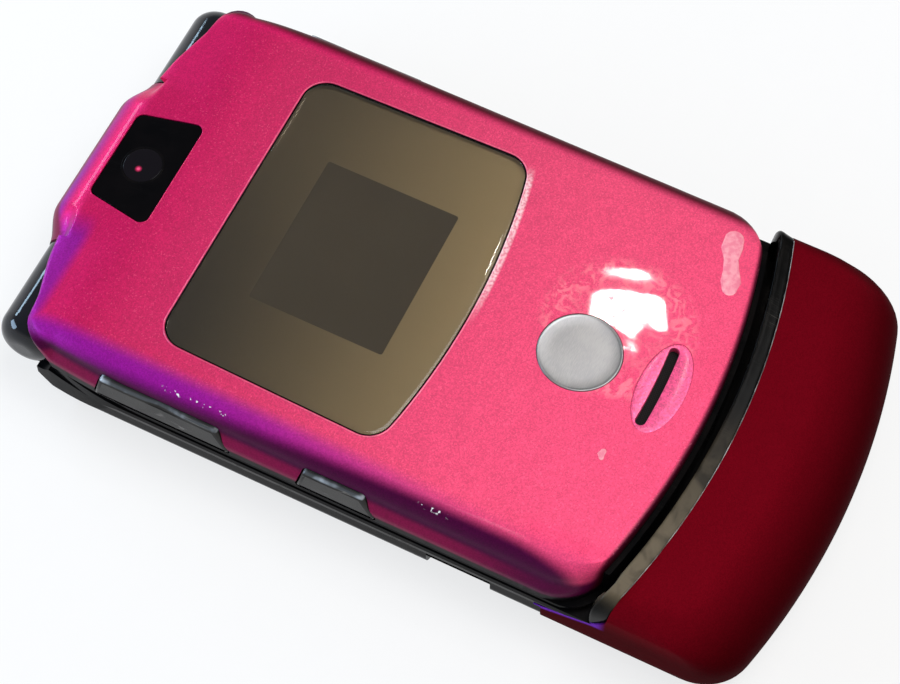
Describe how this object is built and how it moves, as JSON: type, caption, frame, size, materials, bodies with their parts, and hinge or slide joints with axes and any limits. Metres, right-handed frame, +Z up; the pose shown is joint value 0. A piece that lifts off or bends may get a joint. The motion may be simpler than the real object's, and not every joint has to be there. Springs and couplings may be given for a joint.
{
  "type": "flip phone",
  "caption": "Closed clamshell mobile phone lying on its back: hinged lid with an outer window and camera, keypad base, chin cover, sliding battery door.",
  "frame": {"origin": "under the middle of the footprint, on the surface the phone lies on", "axes": "+X across the phone to its right side, +Y along it from the chin to the hinge, +Z up through the lid"},
  "size_m": [0.053, 0.098, 0.0139],
  "materials": {
    "lid_paint": "magenta metallic paint with fine flake under clear coat",
    "chin_paint": "crimson satin paint with fine flake",
    "black_gloss": "polished black plastic",
    "back_paint": "dark crimson satin paint",
    "smoked_window": "smoked half mirror",
    "clear_window": "clear window, black printed border",
    "display_glass": "dark display glass",
    "badge_metal": "polished disc",
    "port_paint": "magenta paint, slightly duller than the lid",
    "side_key_black": "grey-black gloss",
    "keypad_metal": "brushed key caps with cut figures",
    "web_rubber": "silicone sheet",
    "dome_steel": "polyester sheet with steel domes",
    "board_green": "circuit board",
    "shield_steel": "tinned steel",
    "battery_case": "battery casing",
    "steel": "plain steel",
    "soft_black": "soft bumpers",
    "antenna_plastic": "carrier with plated tracks"
  },
  "bodies": {
    "base": {"rear_housing": "black_gloss", "front_housing": "black_gloss", "chin_cover": "chin_paint", "antenna": "antenna_plastic", "main_board": "board_green", "board_components": "shield_steel", "keypad_web": "web_rubber", "keypad_dome_sheet": "dome_steel", "battery": "battery_case", "sim_holder": "shield_steel", "usb_socket": "steel", "hinge_caps": "black_gloss", "hinge_cartridge": "steel", "rear_screws": "steel", "vibration_motor": "steel"},
    "lid": {"lid_shell": "lid_paint", "lid_inner_housing": "black_gloss", "outer_window": "smoked_window", "outer_display": "display_glass", "camera_window": "display_glass", "camera_module": "soft_black", "main_display": "display_glass", "display_window": "clear_window", "speaker": "steel", "speaker_grille": "port_paint", "emblem": "badge_metal", "lid_board": "board_green", "lid_screws": "steel", "lid_bumpers": "soft_black", "hinge_shaft": "steel", "hinge_sleeve": "steel"},
    "soft_key_left": {"soft_key_left": "keypad_metal"},
    "menu_key": {"menu_key": "keypad_metal"},
    "soft_key_right": {"soft_key_right": "keypad_metal"},
    "shortcut_key_left": {"shortcut_key_left": "keypad_metal"},
    "shortcut_key_right": {"shortcut_key_right": "keypad_metal"},
    "select_key": {"select_key": "keypad_metal"},
    "send_key": {"send_key": "keypad_metal"},
    "clear_key": {"clear_key": "keypad_metal"},
    "end_key": {"end_key": "keypad_metal"},
    "key_1": {"key_1": "keypad_metal"},
    "key_2": {"key_2": "keypad_metal"},
    "key_3": {"key_3": "keypad_metal"},
    "key_4": {"key_4": "keypad_metal"},
    "key_5": {"key_5": "keypad_metal"},
    "key_6": {"key_6": "keypad_metal"},
    "key_7": {"key_7": "keypad_metal"},
    "key_8": {"key_8": "keypad_metal"},
    "key_9": {"key_9": "keypad_metal"},
    "key_star": {"key_star": "keypad_metal"},
    "key_0": {"key_0": "keypad_metal"},
    "key_hash": {"key_hash": "keypad_metal"},
    "battery_door": {"battery_door": "back_paint"},
    "door_release": {"door_release": "side_key_black"},
    "motor_weight": {"motor_weight": "steel"},
    "nav_carrier": {"nav_carrier": "web_rubber"},
    "nav_ring": {"nav_ring": "keypad_metal"},
    "volume_rocker": {"volume_rocker": "side_key_black"},
    "smart_key": {"smart_key": "side_key_black"},
    "voice_key": {"voice_key": "side_key_black"}
  },
  "joints": [
    {"name": "lid_hinge", "type": "hinge", "parent": "base", "child": "lid", "pos_m": [0, 0.0434, 0.0076], "axis": [-1, 0, 0], "range_deg": [0, 155]},
    {"name": "battery_door_slide", "type": "slide", "parent": "base", "child": "battery_door", "axis": [0, 1, 0], "range_m": [0, 0.008]},
    {"name": "door_release_press", "type": "slide", "parent": "base", "child": "door_release", "axis": [0, 0, 1], "range_m": [0, 0.0006], "stiffness_N_per_m": 1500},
    {"name": "motor_spin", "type": "hinge", "parent": "base", "child": "motor_weight", "pos_m": [0.0165, -0.0367, 0.0034], "axis": [1, 0, 0], "continuous": true},
    {"name": "nav_tilt_side", "type": "hinge", "parent": "base", "child": "nav_carrier", "pos_m": [0, 0.01915, 0.0066], "axis": [0, 1, 0], "range_deg": [-1, 1], "stiffness_Nm_per_rad": 0.5},
    {"name": "nav_tilt_up_down", "type": "hinge", "parent": "nav_carrier", "child": "nav_ring", "pos_m": [0, 0.01915, 0.0066], "axis": [1, 0, 0], "range_deg": [-1, 1], "stiffness_Nm_per_rad": 0.5},
    {"name": "volume_rocker_tilt", "type": "hinge", "parent": "lid", "child": "volume_rocker", "pos_m": [-0.0235, 0.0244, 0.0099], "axis": [0, 0, 1], "range_deg": [-1.2, 1.2], "stiffness_Nm_per_rad": 0.6},
    {"name": "smart_key_press", "type": "slide", "parent": "lid", "child": "smart_key", "axis": [1, 0, 0], "range_m": [0, 0.00035], "stiffness_N_per_m": 4000},
    {"name": "voice_key_press", "type": "slide", "parent": "lid", "child": "voice_key", "axis": [-1, 0, 0], "range_m": [0, 0.00035], "stiffness_N_per_m": 4000},
    {"name": "soft_key_left_press", "type": "slide", "parent": "base", "child": "soft_key_left", "axis": [0, 0, -1], "range_m": [0, 0.00025], "stiffness_N_per_m": 5000},
    {"name": "menu_key_press", "type": "slide", "parent": "base", "child": "menu_key", "axis": [0, 0, -1], "range_m": [0, 0.00025], "stiffness_N_per_m": 5000},
    {"name": "soft_key_right_press", "type": "slide", "parent": "base", "child": "soft_key_right", "axis": [0, 0, -1], "range_m": [0, 0.00025], "stiffness_N_per_m": 5000},
    {"name": "shortcut_key_left_press", "type": "slide", "parent": "base", "child": "shortcut_key_left", "axis": [0, 0, -1], "range_m": [0, 0.00025], "stiffness_N_per_m": 5000},
    {"name": "shortcut_key_right_press", "type": "slide", "parent": "base", "child": "shortcut_key_right", "axis": [0, 0, -1], "range_m": [0, 0.00025], "stiffness_N_per_m": 5000},
    {"name": "select_key_press", "type": "slide", "parent": "base", "child": "select_key", "axis": [0, 0, -1], "range_m": [0, 0.00025], "stiffness_N_per_m": 5000},
    {"name": "send_key_press", "type": "slide", "parent": "base", "child": "send_key", "axis": [0, 0, -1], "range_m": [0, 0.00025], "stiffness_N_per_m": 5000},
    {"name": "clear_key_press", "type": "slide", "parent": "base", "child": "clear_key", "axis": [0, 0, -1], "range_m": [0, 0.00025], "stiffness_N_per_m": 5000},
    {"name": "end_key_press", "type": "slide", "parent": "base", "child": "end_key", "axis": [0, 0, -1], "range_m": [0, 0.00025], "stiffness_N_per_m": 5000},
    {"name": "key_1_press", "type": "slide", "parent": "base", "child": "key_1", "axis": [0, 0, -1], "range_m": [0, 0.00025], "stiffness_N_per_m": 5000},
    {"name": "key_2_press", "type": "slide", "parent": "base", "child": "key_2", "axis": [0, 0, -1], "range_m": [0, 0.00025], "stiffness_N_per_m": 5000},
    {"name": "key_3_press", "type": "slide", "parent": "base", "child": "key_3", "axis": [0, 0, -1], "range_m": [0, 0.00025], "stiffness_N_per_m": 5000},
    {"name": "key_4_press", "type": "slide", "parent": "base", "child": "key_4", "axis": [0, 0, -1], "range_m": [0, 0.00025], "stiffness_N_per_m": 5000},
    {"name": "key_5_press", "type": "slide", "parent": "base", "child": "key_5", "axis": [0, 0, -1], "range_m": [0, 0.00025], "stiffness_N_per_m": 5000},
    {"name": "key_6_press", "type": "slide", "parent": "base", "child": "key_6", "axis": [0, 0, -1], "range_m": [0, 0.00025], "stiffness_N_per_m": 5000},
    {"name": "key_7_press", "type": "slide", "parent": "base", "child": "key_7", "axis": [0, 0, -1], "range_m": [0, 0.00025], "stiffness_N_per_m": 5000},
    {"name": "key_8_press", "type": "slide", "parent": "base", "child": "key_8", "axis": [0, 0, -1], "range_m": [0, 0.00025], "stiffness_N_per_m": 5000},
    {"name": "key_9_press", "type": "slide", "parent": "base", "child": "key_9", "axis": [0, 0, -1], "range_m": [0, 0.00025], "stiffness_N_per_m": 5000},
    {"name": "key_star_press", "type": "slide", "parent": "base", "child": "key_star", "axis": [0, 0, -1], "range_m": [0, 0.00025], "stiffness_N_per_m": 5000},
    {"name": "key_0_press", "type": "slide", "parent": "base", "child": "key_0", "axis": [0, 0, -1], "range_m": [0, 0.00025], "stiffness_N_per_m": 5000},
    {"name": "key_hash_press", "type": "slide", "parent": "base", "child": "key_hash", "axis": [0, 0, -1], "range_m": [0, 0.00025], "stiffness_N_per_m": 5000}
  ]
}
